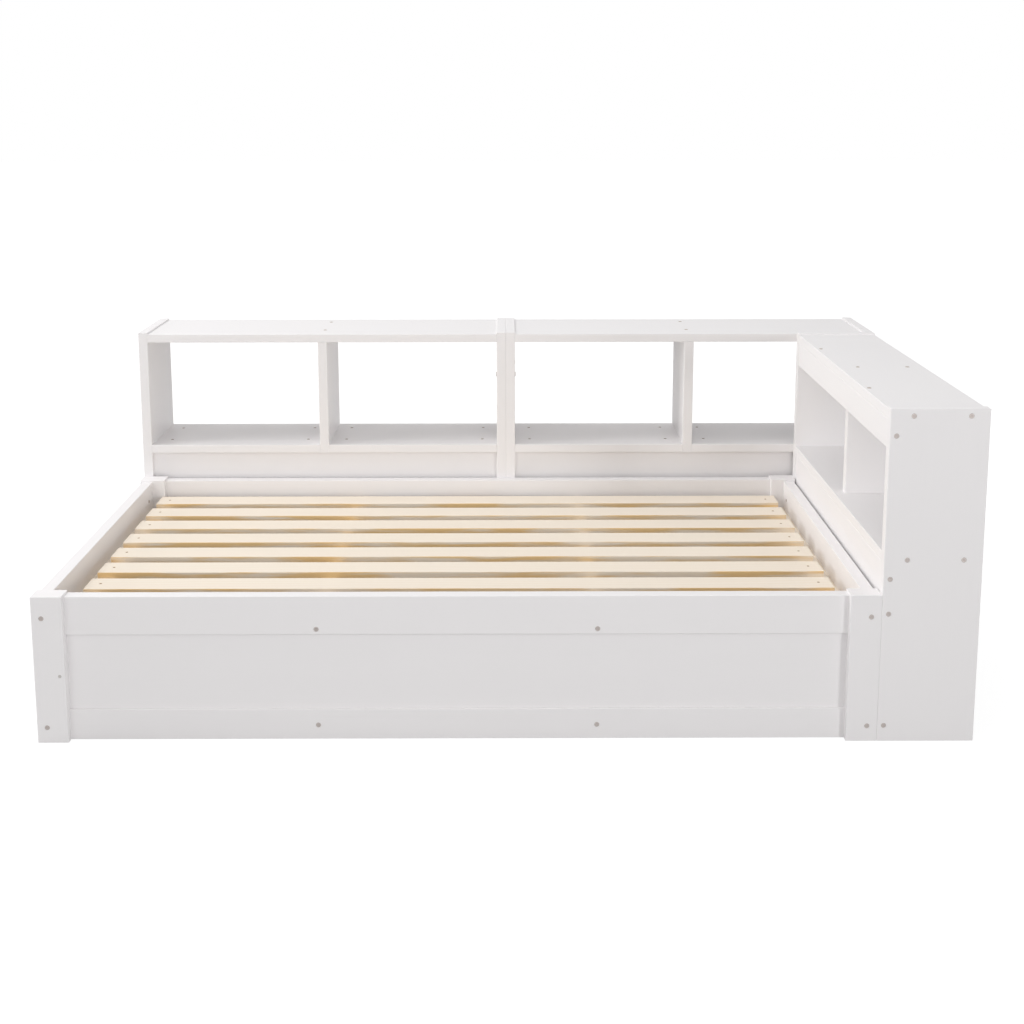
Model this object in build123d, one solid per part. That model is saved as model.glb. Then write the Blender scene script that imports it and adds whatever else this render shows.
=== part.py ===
from build123d import *
import os

# A storage daybed: a framed bed with pine slats, a tall open bookcase along its back
# and a narrow one along its right side. Lengths are in millimetres. Places are measured
# from the bed's left side (x), its front (y) and the floor (z). At the end everything
# moves by one step, so that the origin lies on the floor under the middle of the whole.

# Bed frame
bed_length = 2010.0
bed_depth = 1100.0
post_width = 74.0
post_depth = 52.0
post_height = 365.0
rail_drop = 6.0
top_rail_height = 95.0
bottom_rail_height = 76.0
end_rail_thickness = 33.5
side_rail_thickness = 31.0
side_rail_inset = 5.0
panel_thickness = 12.0
panel_setback = 6.0
groove_depth = 9.0
tenon_thickness = 12.0
tenon_length = 25.0
tenon_edge = 12.0
tenon_haunch = 20.0

# Slats and what carries them
slat_count = 8
slat_width = 82.0
slat_margin = 20.0
slat_thickness = 18.0
slat_top = 315.0
slat_end_gap = 31.0
slat_screw_inset = 32.0
ledger_width = 75.0
ledger_flange = 13.0
beam_thickness = 31.0
upper_beam_height = 40.0
lower_beam_height = 70.0
legs_per_beam = 3
leg_depth = 40.0
leg_tenon_depth = 28.0
leg_tenon_length = 15.0

# Bookcases
case_height = 815.0
back_case_depth = 295.0
side_case_width = 232.0
upright_thickness = 28.0
board_thickness = 25.0
top_board_drop = 5.0
shelf_underside = 439.0
apron_height = 155.0
apron_recess = 15.0
base_rail_height = 78.0
case_rail_thickness = 28.0
fascia_height = 69.0
side_case_inset = 2.0

# Bolts with barrel nuts, screws, connectors and the plug
bolt_diameter = 6.0
bolt_head_diameter = 12.0
bolt_head_thickness = 2.6
bolt_hole_room = 0.5
head_sink = 0.4
head_room = 0.3
socket_size = 4.0
socket_depth = 2.2
nut_diameter = 10.0
nut_room = 0.2
nut_tail = 5.5
nut_sink = 1.0
nut_inset = 46.0
bolt_tip = 4.0
screw_diameter = 4.0
screw_head_diameter = 7.0
top_screw_head_diameter = 12.0
screw_head_thickness = 2.4
screw_bite = 24.0
screw_room = 0.05
post_bolt_inset = 24.0
back_bolt_front = 77.0
back_bolt_rear = 59.5
side_bolt_near = 54.5
side_bolt_far = 44.5
apron_bolt_edge = 34.6
divider_screw_front = 85.0
divider_screw_rear = 51.5
fascia_screw_inset = 240.0
connector_height = 677.0
connector_inset = 46.0
connector_head_diameter = 14.0
connector_head_thickness = 2.0
sleeve_diameter = 8.0
sleeve_setback = 6.0
sleeve_bore_room = 0.1
plug_diameter = 8.0
plug_length = 8.0
plug_edge_inset = 13.3
plug_height = 167.4

# Clearances and eased edges
sliding_room = 0.3
depth_room = 1.0
edge_round = 1.5
slat_round = 2.0

# Planes that several pieces share
case_right = bed_length + side_case_width
case_back = bed_depth + back_case_depth
rail_z = {
    "top": (post_height - rail_drop - top_rail_height, post_height - rail_drop),
    "bottom": (0.0, bottom_rail_height),
}
post_x = {"left": (0.0, post_width), "right": (bed_length - post_width, bed_length)}
post_y = {"front": (0.0, post_depth), "back": (bed_depth - post_depth, bed_depth)}
slat_underside = slat_top - slat_thickness
upper_beam_z = (slat_underside - upper_beam_height, slat_underside)
lower_beam_z = (0.0, lower_beam_height)
beam_y = (post_depth, bed_depth - end_rail_thickness)
beam_x = {"left": bed_length / 3, "right": bed_length * 2 / 3}
first_slat = beam_y[0] + slat_margin + slat_width / 2
last_slat = beam_y[1] - slat_margin - slat_width / 2
slat_pitch = (last_slat - first_slat) / (slat_count - 1)
shelf_z = (shelf_underside, shelf_underside + board_thickness)
top_z = (case_height - top_board_drop - board_thickness, case_height - top_board_drop)
apron_z = (shelf_underside - apron_height, shelf_underside)
base_z = (0.0, base_rail_height)
fascia_z = (top_z[0] - fascia_height, top_z[0])

pieces = {}
pockets = {}
hardware = {"flat_head_bolts": [], "barrel_nuts": [], "wood_screws": [], "case_connectors": []}


def middle(limits):
    return (limits[0] + limits[1]) / 2


def grow(limits, amount):
    return (limits[0] - amount, limits[1] + amount)


def centred(place, size):
    return (place - size / 2, place + size / 2)


def from_side(side, near, far):
    """Give x limits measured in from the bed's left or right outer face."""
    return (near, far) if side == "left" else (bed_length - far, bed_length - near)


def block(x, y, z):
    """Make a plain block between three pairs of limits."""
    sizes = [high - low for low, high in (x, y, z)]
    return Pos(middle(x), middle(y), middle(z)) * Box(*sizes)


def board(x, y, z, grain, round_size=edge_round):
    """Make a board with the four edges along its grain eased."""
    solid = block(x, y, z)
    return fillet(solid.edges().filter_by(grain), round_size)


def standing_board(x, y, z):
    """Make an upright with its upright edges and its top eased, and its foot left sharp."""
    solid = block(x, y, z)
    edges = solid.edges().filter_by(Axis.Z) + solid.faces().sort_by(Axis.Z)[-1].edges()
    return fillet(edges, edge_round)


def rod(start, along, length, diameter):
    """Make a round bar from a point, along a direction."""
    bar = Cylinder(diameter / 2, length, align=(Align.CENTER, Align.CENTER, Align.MIN))
    return Plane(origin=start, z_dir=along).location * bar


def add(name, solid):
    pieces[name] = solid
    pockets[name] = []


def cut(names, solid):
    for name in names:
        pockets[name].append(solid)


def nut_at(names, place, toward, along, face_distance):
    """Add a barrel nut that enters from a face, with a cross hole along the bolt."""
    nut_above = board_thickness / 2 - nut_sink
    tail = place - toward * nut_tail
    nut = rod(tail, toward, nut_tail + nut_above, nut_diameter)
    nut -= rod(place - along * nut_diameter, along, nut_diameter * 2, bolt_diameter + 2 * sleeve_bore_room)
    hardware["barrel_nuts"].append(nut)
    cut(names, rod(tail, toward, nut_tail + face_distance + depth_room, nut_diameter + 2 * nut_room))


def bolt_joint(outer, inner, head, along, passes, toward, face_distance):
    """Bolt one board to the end of another, into a barrel nut, with the head let in."""
    head = Vector(*head)
    along = Vector(*along)
    toward = Vector(*toward)
    reach = passes + nut_inset
    seat = head_sink + bolt_head_thickness
    tip = reach + bolt_tip
    bolt = rod(head + along * head_sink, along, bolt_head_thickness, bolt_head_diameter)
    bolt += rod(head + along * seat, along, tip - seat, bolt_diameter)
    socket = extrude(Plane(origin=head, z_dir=along) * RegularPolygon(socket_size / 2, 6, major_radius=False),
                     head_sink + socket_depth)
    hardware["flat_head_bolts"].append(bolt - socket)
    way = rod(head, along, tip + depth_room, bolt_diameter + 2 * bolt_hole_room)
    way += rod(head, along, seat, bolt_head_diameter + 2 * head_room)
    cut([outer, inner], way)
    nut_at([inner], head + along * reach, toward, along, face_distance)


def screw_joint(outer, inner, head, along, passes, head_diameter=screw_head_diameter):
    """Screw one board to another, with the head let in flush."""
    head = Vector(*head)
    along = Vector(*along)
    seat = head_sink + screw_head_thickness
    length = passes + screw_bite
    screw = rod(head + along * head_sink, along, screw_head_thickness, head_diameter)
    screw += rod(head + along * seat, along, length - seat, screw_diameter)
    hardware["wood_screws"].append(screw)
    way = rod(head, along, length + depth_room, screw_diameter + 2 * screw_room)
    way += rod(head, along, seat, head_diameter + 2 * head_room)
    cut([outer, inner], way)


def make_posts():
    for end in post_y:
        for side in post_x:
            add(f"{end}_{side}_post", standing_board(post_x[side], post_y[end], (0.0, post_height)))


def make_panel(name, x, y, grows_in_x):
    """Make a flat panel whose edges stand in the grooves of its rails and posts."""
    tongue = groove_depth - depth_room
    z = (rail_z["bottom"][1] - groove_depth, rail_z["top"][0] + tongue)
    x = grow(x, tongue) if grows_in_x else x
    y = y if grows_in_x else grow(y, tongue)
    add(name, block(x, y, z))


def make_end_frame(end):
    """Make the front or back frame: two tenoned rails with a panel let in between."""
    rail_y = (post_y[end][1] - end_rail_thickness, post_y[end][1])
    panel_y = (rail_y[0] + panel_setback, rail_y[0] + panel_setback + panel_thickness)
    inner_x = (post_x["left"][1], post_x["right"][0])
    tenon_y = centred(middle(rail_y), tenon_thickness)
    posts = [f"{end}_left_post", f"{end}_right_post"]
    for level, z in rail_z.items():
        edges = (tenon_haunch, tenon_edge) if level == "top" else (tenon_edge, tenon_haunch)
        tenon_z = (z[0] + edges[0], z[1] - edges[1])
        rail = board(inner_x, rail_y, z, Axis.X)
        rail += block(grow(inner_x, tenon_length), tenon_y, tenon_z)
        add(f"{end}_{level}_rail", rail)
        mortise = block(grow(inner_x, tenon_length + depth_room),
                        grow(tenon_y, sliding_room), grow(tenon_z, sliding_room))
        cut(posts, mortise)
    groove_z = (rail_z["bottom"][1] - groove_depth, rail_z["top"][0] + groove_depth)
    groove = block(grow(inner_x, groove_depth), grow(panel_y, sliding_room), groove_z)
    cut(posts + [f"{end}_top_rail", f"{end}_bottom_rail"], groove)
    make_panel(f"{end}_panel", inner_x, panel_y, True)


def make_side_frame(side):
    """Make a side frame: two rails bolted between the posts, with a panel let in."""
    rail_x = from_side(side, side_rail_inset, side_rail_inset + side_rail_thickness)
    panel_near = side_rail_inset + panel_setback
    panel_x = from_side(side, panel_near, panel_near + panel_thickness)
    inner_y = (post_y["front"][1], post_y["back"][0])
    bolt_x = middle(from_side(side, post_bolt_inset, post_bolt_inset))
    inward = (1, 0, 0) if side == "left" else (-1, 0, 0)
    face_distance = side_rail_inset + side_rail_thickness - post_bolt_inset
    for level, z in rail_z.items():
        rail = f"{side}_{level}_rail"
        add(rail, board(rail_x, inner_y, z, Axis.Y))
        for end, along in (("front", (0, 1, 0)), ("back", (0, -1, 0))):
            head_y = 0.0 if end == "front" else bed_depth
            bolt_joint(f"{end}_{side}_post", rail, (bolt_x, head_y, middle(z)), along,
                       post_depth, inward, face_distance)
    groove_z = (rail_z["bottom"][1] - groove_depth, rail_z["top"][0] + groove_depth)
    groove = block(grow(panel_x, sliding_room), grow(inner_y, groove_depth), groove_z)
    names = [f"front_{side}_post", f"back_{side}_post", f"{side}_top_rail", f"{side}_bottom_rail"]
    cut(names, groove)
    make_panel(f"{side}_panel", panel_x, inner_y, False)


def make_cross_support(side):
    """Make the upper and lower beams from front to back, and the legs between them."""
    x = centred(beam_x[side], beam_thickness)
    legs = []
    names = {"upper": f"{side}_upper_beam", "lower": f"{side}_lower_beam"}
    levels = {"upper": (upper_beam_z, "top"), "lower": (lower_beam_z, "bottom")}
    for level, (z, rail_level) in levels.items():
        add(names[level], board(x, beam_y, z, Axis.Y))
        for end, along in (("front", (0, 1, 0)), ("back", (0, -1, 0))):
            head_y = post_depth - end_rail_thickness if end == "front" else bed_depth
            bolt_joint(f"{end}_{rail_level}_rail", names[level], (beam_x[side], head_y, middle(z)),
                       along, end_rail_thickness, (1, 0, 0), beam_thickness / 2)
    leg_z = (lower_beam_z[1], upper_beam_z[0])
    for number in range(legs_per_beam):
        place = beam_y[0] + (beam_y[1] - beam_y[0]) * (number + 1) / (legs_per_beam + 1)
        leg = board(x, centred(place, leg_depth), leg_z, Axis.Z)
        tenon_x = centred(beam_x[side], tenon_thickness)
        tenon_y = centred(place, leg_tenon_depth)
        leg += block(tenon_x, tenon_y, grow(leg_z, leg_tenon_length))
        legs.append(leg)
        cut(names.values(), block(grow(tenon_x, sliding_room), grow(tenon_y, sliding_room),
                                  grow(leg_z, leg_tenon_length + depth_room)))
    return legs


def make_slat_base():
    """Make the side ledgers, the cross supports and the row of slats."""
    ledger_z = (rail_z["top"][0], slat_underside)
    rail_inner = side_rail_inset + side_rail_thickness
    for side in post_x:
        ledger_x = from_side(side, rail_inner, rail_inner + ledger_width)
        gap_x = from_side(side, rail_inner, rail_inner + slat_end_gap)
        ledger_y = (post_y["front"][1], post_y["back"][0])
        rebate = block(gap_x, ledger_y, (ledger_z[0] + ledger_flange, ledger_z[1]))
        add(f"{side}_slat_ledger", board(ledger_x, ledger_y, ledger_z, Axis.Y) - rebate)
        along = (-1, 0, 0) if side == "left" else (1, 0, 0)
        head_x = ledger_x[1] if side == "left" else ledger_x[0]
        for number in range(0, slat_count - 1, 2):
            place = first_slat + slat_pitch * (number + 0.5)
            screw_joint(f"{side}_slat_ledger", f"{side}_top_rail",
                        (head_x, place, ledger_z[0] + ledger_flange / 2), along, ledger_width)
    legs = make_cross_support("left") + make_cross_support("right")
    slat_x = (rail_inner + slat_end_gap, bed_length - rail_inner - slat_end_gap)
    for number in range(slat_count):
        name = f"slat_{number + 1}"
        place = first_slat + slat_pitch * number
        add(name, board(slat_x, centred(place, slat_width), (slat_underside, slat_top),
                        Axis.X, slat_round))
        for side, x in (("left", slat_x[0] + slat_screw_inset), ("right", slat_x[1] - slat_screw_inset)):
            screw_joint(name, f"{side}_slat_ledger", (x, place, slat_top), (0, 0, -1), slat_thickness)
    return legs


def make_back_module(side, left_end):
    """Make one of the two joined cases of the back bookcase."""
    width = case_right / 2
    y = (bed_depth, case_back)
    case_x = (left_end, left_end + width)
    inner_x = grow(case_x, -upright_thickness)
    rail_y = (bed_depth + apron_recess, bed_depth + apron_recess + case_rail_thickness)
    divider_x = centred(middle(case_x), upright_thickness)
    uprights = {"left": f"back_case_{side}_module_left_upright",
                "right": f"back_case_{side}_module_right_upright"}
    base = f"back_case_{side}"
    add(uprights["left"], standing_board((case_x[0], inner_x[0]), y, (0.0, case_height)))
    add(uprights["right"], standing_board((inner_x[1], case_x[1]), y, (0.0, case_height)))
    add(f"{base}_top", board(inner_x, y, top_z, Axis.X))
    add(f"{base}_divider", board(divider_x, y, (shelf_z[0], top_z[0]), Axis.Z))
    add(f"{base}_apron", board(inner_x, rail_y, apron_z, Axis.X))
    add(f"{base}_base_rail", board(inner_x, rail_y, base_z, Axis.X))
    add(f"{base}_left_shelf", board((inner_x[0], divider_x[0]), y, shelf_z, Axis.X))
    add(f"{base}_right_shelf", board((divider_x[1], inner_x[1]), y, shelf_z, Axis.X))
    bolt_places = (bed_depth + back_bolt_front, case_back - back_bolt_rear)
    for end, head_x, along in (("left", case_x[0], (1, 0, 0)), ("right", case_x[1], (-1, 0, 0))):
        for place in bolt_places:
            bolt_joint(uprights[end], f"{base}_top", (head_x, place, middle(top_z)), along,
                       upright_thickness, (0, 0, -1), board_thickness / 2)
            bolt_joint(uprights[end], f"{base}_{end}_shelf", (head_x, place, middle(shelf_z)), along,
                       upright_thickness, (0, 0, 1), board_thickness / 2)
        for height in grow(apron_z, -apron_bolt_edge):
            bolt_joint(uprights[end], f"{base}_apron", (head_x, middle(rail_y), height), along,
                       upright_thickness, (0, 1, 0), case_rail_thickness / 2)
        bolt_joint(uprights[end], f"{base}_base_rail", (head_x, middle(rail_y), middle(base_z)), along,
                   upright_thickness, (0, 1, 0), case_rail_thickness / 2)
    for place in bolt_places:
        join_shelves_through_divider(base, divider_x, place)
    for place in (bed_depth + divider_screw_front, case_back - divider_screw_rear):
        screw_joint(f"{base}_top", f"{base}_divider", (middle(divider_x), place, top_z[1]),
                    (0, 0, -1), board_thickness, top_screw_head_diameter)


def join_shelves_through_divider(base, divider_x, place):
    """Join both shelf halves to the divider with one stud and a barrel nut in each half."""
    height = middle(shelf_z)
    ends = grow(divider_x, nut_inset + bolt_tip)
    stud = rod(Vector(ends[0], place, height), Vector(1, 0, 0), ends[1] - ends[0], bolt_diameter)
    hardware["case_connectors"].append(stud)
    way_x = grow(ends, depth_room)
    way = rod(Vector(way_x[0], place, height), Vector(1, 0, 0), way_x[1] - way_x[0],
              bolt_diameter + 2 * bolt_hole_room)
    cut([f"{base}_left_shelf", f"{base}_right_shelf", f"{base}_divider"], way)
    for shelf, x in zip(("left", "right"), grow(divider_x, nut_inset)):
        nut_at([f"{base}_{shelf}_shelf"], Vector(x, place, height), Vector(0, 0, 1), Vector(1, 0, 0),
               board_thickness / 2)


def join_modules():
    """Clamp the two middle uprights together with sleeve connectors."""
    x = centred(case_right / 2, 2 * upright_thickness)
    names = ["back_case_left_module_right_upright", "back_case_right_module_left_upright"]
    sleeve_end = x[1] - sleeve_setback
    along = Vector(1, 0, 0)
    for height in (connector_height, case_height - connector_height):
        for place in grow((bed_depth, case_back), -connector_inset):
            sleeve = rod(Vector(x[0] - connector_head_thickness, place, height), along,
                         connector_head_thickness, connector_head_diameter)
            sleeve += rod(Vector(x[0], place, height), along, sleeve_end - x[0], sleeve_diameter)
            bore_start = x[0] + sleeve_setback
            sleeve -= rod(Vector(bore_start, place, height), along, sleeve_end - bore_start + depth_room,
                          bolt_diameter + 2 * sleeve_bore_room)
            screw = rod(Vector(x[1], place, height), along, connector_head_thickness, connector_head_diameter)
            screw_start = bore_start + depth_room
            screw += rod(Vector(screw_start, place, height), along, x[1] - screw_start, bolt_diameter)
            hardware["case_connectors"] += [sleeve, screw]
            cut(names, rod(Vector(x[0] - depth_room, place, height), along,
                           x[1] - x[0] + 2 * depth_room, sleeve_diameter + 2 * nut_room))


def make_side_case():
    """Make the narrow bookcase that stands along the bed's right side."""
    x = (bed_length, case_right)
    end_y = {"front": (0.0, upright_thickness), "rear": (bed_depth - upright_thickness, bed_depth)}
    inner_y = (end_y["front"][1], end_y["rear"][0])
    board_x = (x[0] + side_case_inset, x[1])
    rail_x = (board_x[0], board_x[0] + case_rail_thickness)
    divider_y = centred(middle(inner_y), upright_thickness)
    for end, y in end_y.items():
        add(f"side_case_{end}_upright", standing_board(x, y, (0.0, case_height)))
    add("side_case_top", board(board_x, inner_y, top_z, Axis.Y))
    add("side_case_shelf", board(board_x, inner_y, shelf_z, Axis.Y))
    add("side_case_fascia", board(rail_x, inner_y, fascia_z, Axis.Y))
    add("side_case_apron", board(rail_x, inner_y, apron_z, Axis.Y))
    add("side_case_base_rail", board(rail_x, inner_y, base_z, Axis.Y))
    divider_x = (rail_x[1], board_x[1])
    add("side_case_divider", board(divider_x, divider_y, (shelf_z[1], top_z[0]), Axis.Z))
    bolt_x = (x[0] + side_bolt_near, x[1] - side_bolt_far)
    for end, head_y, along in (("front", 0.0, (0, 1, 0)), ("rear", bed_depth, (0, -1, 0))):
        upright = f"side_case_{end}_upright"
        for place in bolt_x:
            for name, z in (("side_case_top", top_z), ("side_case_shelf", shelf_z)):
                bolt_joint(upright, name, (place, head_y, middle(z)), along,
                           upright_thickness, (0, 0, -1), board_thickness / 2)
        rail_bolts = [("side_case_fascia", middle(fascia_z)), ("side_case_base_rail", middle(base_z))]
        rail_bolts += [("side_case_apron", height) for height in grow(apron_z, -apron_bolt_edge)]
        for name, height in rail_bolts:
            bolt_joint(upright, name, (middle(rail_x), head_y, height), along,
                       upright_thickness, (1, 0, 0), case_rail_thickness / 2)
    for place in grow(inner_y, -fascia_screw_inset):
        screw_joint("side_case_top", "side_case_fascia", (middle(rail_x), place, top_z[1]),
                    (0, 0, -1), board_thickness, top_screw_head_diameter)
    for place in bolt_x:
        screw_joint("side_case_top", "side_case_divider", (place, middle(divider_y), top_z[1]),
                    (0, 0, -1), board_thickness, top_screw_head_diameter)
        screw_joint("side_case_shelf", "side_case_divider", (place, middle(divider_y), shelf_z[0]),
                    (0, 0, 1), board_thickness)


def make_post_plug():
    """Fill the spare hole in the left front post with a small plug."""
    place = Vector(post_x["left"][1] - plug_edge_inset, 0, plug_height)
    back = Vector(0, 1, 0)
    cut(["front_left_post"], rod(place, back, head_sink + plug_length, plug_diameter + 2 * nut_room))
    return rod(place + back * head_sink, back, plug_length, plug_diameter)


def bore_and_seat(name):
    """Cut a board's grooves, mortises and holes."""
    solid = pieces[name]
    for pocket in pockets[name]:
        solid -= pocket
    return solid


def save(name, solids):
    """Move the solids from the corner datum to the centred origin and write them."""
    centre = Pos(-case_right / 2, -case_back / 2, 0)
    moved = [centre * solid for solid in solids]
    shape = moved[0] if len(moved) == 1 else Compound(children=moved)
    export_step(shape, f"parts/{name}.step")


os.makedirs("parts", exist_ok=True)
make_posts()
for end in post_y:
    make_end_frame(end)
for side in post_x:
    make_side_frame(side)
beam_legs = make_slat_base()
make_back_module("left", 0.0)
make_back_module("right", case_right / 2)
join_modules()
make_side_case()
post_plug = make_post_plug()
for name in pieces:
    save(name, [bore_and_seat(name)])
save("beam_legs", beam_legs)
save("post_plug", [post_plug])
for name, solids in hardware.items():
    save(name, solids)
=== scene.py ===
"""Finishes, fasteners, studio and camera for the storage daybed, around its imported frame."""

import math

import bmesh
import bpy
from bpy.props import FloatProperty, FloatVectorProperty, IntProperty, PointerProperty
from mathutils import Matrix, Vector


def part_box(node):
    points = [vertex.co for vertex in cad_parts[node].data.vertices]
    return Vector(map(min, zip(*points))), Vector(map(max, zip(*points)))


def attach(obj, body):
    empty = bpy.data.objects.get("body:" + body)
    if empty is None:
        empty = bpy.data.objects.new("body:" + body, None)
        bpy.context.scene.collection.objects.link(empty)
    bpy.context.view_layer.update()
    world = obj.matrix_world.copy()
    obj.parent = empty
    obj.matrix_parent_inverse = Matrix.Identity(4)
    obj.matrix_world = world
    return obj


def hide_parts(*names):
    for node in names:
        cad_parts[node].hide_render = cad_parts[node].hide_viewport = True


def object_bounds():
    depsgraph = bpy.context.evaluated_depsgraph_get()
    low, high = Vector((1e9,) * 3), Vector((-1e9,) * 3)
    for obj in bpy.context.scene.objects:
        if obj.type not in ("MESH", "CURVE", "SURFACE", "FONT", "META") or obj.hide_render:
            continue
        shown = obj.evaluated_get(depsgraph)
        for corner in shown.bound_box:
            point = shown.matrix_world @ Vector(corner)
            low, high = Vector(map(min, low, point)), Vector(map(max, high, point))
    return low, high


bl_info = {
    "name": "Storage Daybed",
    "version": (1, 0, 0),
    "blender": (4, 5, 0),
    "location": "View3D > Sidebar > Daybed",
    "description": "Paint, pine, fasteners and studio for a storage daybed with two bookcases",
    "category": "Add Mesh",
}

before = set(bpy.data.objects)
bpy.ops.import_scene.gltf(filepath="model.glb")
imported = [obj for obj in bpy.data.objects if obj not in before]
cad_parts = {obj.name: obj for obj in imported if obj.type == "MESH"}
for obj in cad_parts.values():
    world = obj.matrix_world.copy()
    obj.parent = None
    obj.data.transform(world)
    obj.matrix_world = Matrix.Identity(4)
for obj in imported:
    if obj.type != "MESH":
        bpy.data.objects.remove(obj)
cad_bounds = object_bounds()

PINE_NODES = ["beam_legs", "left_upper_beam", "right_upper_beam", "left_lower_beam", "right_lower_beam",
              "left_slat_ledger", "right_slat_ledger"]
SLAT_NODES = sorted(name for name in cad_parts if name.startswith("slat_"))
FASTENER_NODES = ["flat_head_bolts", "barrel_nuts", "wood_screws", "case_connectors", "post_plug"]
MM = 0.001


class PaintSettings(bpy.types.PropertyGroup):
    """The white paint on the frame and the bookcases."""

    colour: FloatVectorProperty(
        name="Paint colour", description="Main colour of the paint",
        subtype="COLOR", size=3, min=0, max=1, default=(0.871, 0.850, 0.852))
    shade: FloatVectorProperty(
        name="Paint shade", description="Colour where the coat lies a little thinner",
        subtype="COLOR", size=3, min=0, max=1, default=(0.838, 0.818, 0.822))
    roughness: FloatProperty(
        name="Roughness", description="Roughness of the dry coat",
        subtype="FACTOR", min=0, max=1, default=0.46)
    streak_width: FloatProperty(
        name="Streak width", description="Width of one faint brush streak",
        unit="LENGTH", min=0.0005, max=0.02, default=0.003)
    streak_stretch: FloatProperty(
        name="Streak stretch", description="How many times longer than wide a streak is",
        min=1, max=200, default=40)


class PineSettings(bpy.types.PropertyGroup):
    """The bare pine of the slats and the hidden frame."""

    early_wood: FloatVectorProperty(
        name="Early wood", description="Pale wood between the rings",
        subtype="COLOR", size=3, min=0, max=1, default=(0.900, 0.815, 0.705))
    late_wood: FloatVectorProperty(
        name="Late wood", description="Darker wood of the ring lines",
        subtype="COLOR", size=3, min=0, max=1, default=(0.800, 0.655, 0.470))
    # This amber is partly the wood's edge grain and partly painted shade: it makes every face turned along y
    # darker and more saturated than the flat.
    edge_grain_and_painted_shade: FloatVectorProperty(
        name="Edge wood", description="Amber wood where the rings run out along an edge",
        subtype="COLOR", size=3, min=0, max=1, default=(0.840, 0.560, 0.230))
    ring_spacing: FloatProperty(
        name="Ring spacing", description="Distance from one ring line to the next",
        unit="LENGTH", min=0.001, max=0.05, default=0.009)
    wander: FloatProperty(
        name="Ring wander", description="How far a ring line wanders along a slat",
        unit="LENGTH", min=0, max=0.2, default=0.030)
    roughness: FloatProperty(
        name="Roughness", description="Roughness of the planed wood",
        subtype="FACTOR", min=0, max=1, default=0.62)


class FastenerSettings(bpy.types.PropertyGroup):
    """The bolts, barrel nuts, screws and plug that show."""

    chamfer: FloatProperty(
        name="Head chamfer", description="Width of the bevel round a head",
        unit="LENGTH", min=0, max=0.002, default=0.5 * MM)
    socket_width: FloatProperty(
        name="Socket width", description="Width of the hexagon socket across its flats",
        unit="LENGTH", min=0.001, max=0.01, default=4 * MM)
    recess_depth: FloatProperty(
        name="Recess depth", description="Depth of the socket, cross or slot in a head",
        unit="LENGTH", min=0.0005, max=0.005, default=1.6 * MM)
    blade_width: FloatProperty(
        name="Blade width", description="Width of one arm of a cross or slot",
        unit="LENGTH", min=0.0005, max=0.003, default=1.1 * MM)
    screw_bronze: FloatVectorProperty(
        name="Screw colour", description="Colour of the yellow-brown plating on the wood screws",
        subtype="COLOR", size=3, min=0, max=1, default=(0.400, 0.260, 0.140))
    nut_lift: FloatProperty(
        name="Nut lift", description="How far a barrel nut's end is brought up towards the face of its board",
        unit="LENGTH", min=0, max=0.003, default=0.5 * MM)
    plug_dome: FloatProperty(
        name="Plug dome", description="Height of the plug's shallow dome",
        unit="LENGTH", min=0, max=0.003, default=0.35 * MM)
    sides: IntProperty(
        name="Sides", description="Number of sides of a round head", min=8, max=64, default=32)
    zinc: FloatVectorProperty(
        name="Zinc colour", description="Colour of the dull zinc on bolts and connectors",
        subtype="COLOR", size=3, min=0, max=1, default=(0.66, 0.60, 0.58))
    brass: FloatVectorProperty(
        name="Brass colour", description="Colour of the barrel nuts",
        subtype="COLOR", size=3, min=0, max=1, default=(0.270, 0.150, 0.070))


class StudioSettings(bpy.types.PropertyGroup):
    """The floor, the lamps and the camera."""

    key_power: FloatProperty(
        name="Key lamp", description="Power of the small lamp at the front right",
        unit="POWER", min=0, default=106.199)
    fill_power: FloatProperty(
        name="Fill lamp", description="Power of the broad lamp above the front left",
        unit="POWER", min=0, default=37.638)
    side_power: FloatProperty(
        name="Side lamp", description="Power of the broad lamp at the left side",
        unit="POWER", min=0, default=101.2)
    high_power: FloatProperty(
        name="High lamp", description="Power of the broad lamp high on the left",
        unit="POWER", min=0, default=82.767)
    boom_power: FloatProperty(
        name="Boom lamp", description="Power of the lamp before the bed that lights the slats",
        unit="POWER", min=0, default=7.591)
    top_power: FloatProperty(
        name="Top lamp", description="Power of the broad lamp overhead",
        unit="POWER", min=0, default=25.808)
    ambient: FloatProperty(
        name="Ambient", description="Strength of the even light from all round",
        min=0, default=0.466)
    camera_place: FloatVectorProperty(
        name="Camera place", description="Where the camera stands",
        subtype="XYZ", unit="LENGTH", size=3, default=(0.00522, -3.96457, 1.52829))
    camera_yaw: FloatProperty(
        name="Camera yaw", description="Turn of the camera to the right",
        subtype="ANGLE", default=math.radians(0.1823))
    camera_pitch: FloatProperty(
        name="Camera pitch", description="Tilt of the camera below level",
        subtype="ANGLE", default=math.radians(9.89))
    camera_roll: FloatProperty(
        name="Camera roll", description="Roll of the camera about its own line of sight",
        subtype="ANGLE", default=math.radians(-0.057))
    focal_length: FloatProperty(
        name="Focal length", description="Focal length on a 36 mm sensor",
        subtype="DISTANCE_CAMERA", min=1, default=51.01)
    shift_up: FloatProperty(
        name="Lens shift", description="Upward shift of the lens as a share of the picture's width",
        default=-0.16017)


def new_group(name, inputs, outputs):
    """Start a shader node group with named sockets and give its tree, input and output nodes."""
    tree = bpy.data.node_groups.new(name, "ShaderNodeTree")
    for label, kind, value in inputs:
        socket = tree.interface.new_socket(name=label, in_out="INPUT", socket_type=kind)
        if value is not None:
            socket.default_value = value
    for label, kind in outputs:
        tree.interface.new_socket(name=label, in_out="OUTPUT", socket_type=kind)
    return tree, tree.nodes.new("NodeGroupInput"), tree.nodes.new("NodeGroupOutput")


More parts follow.
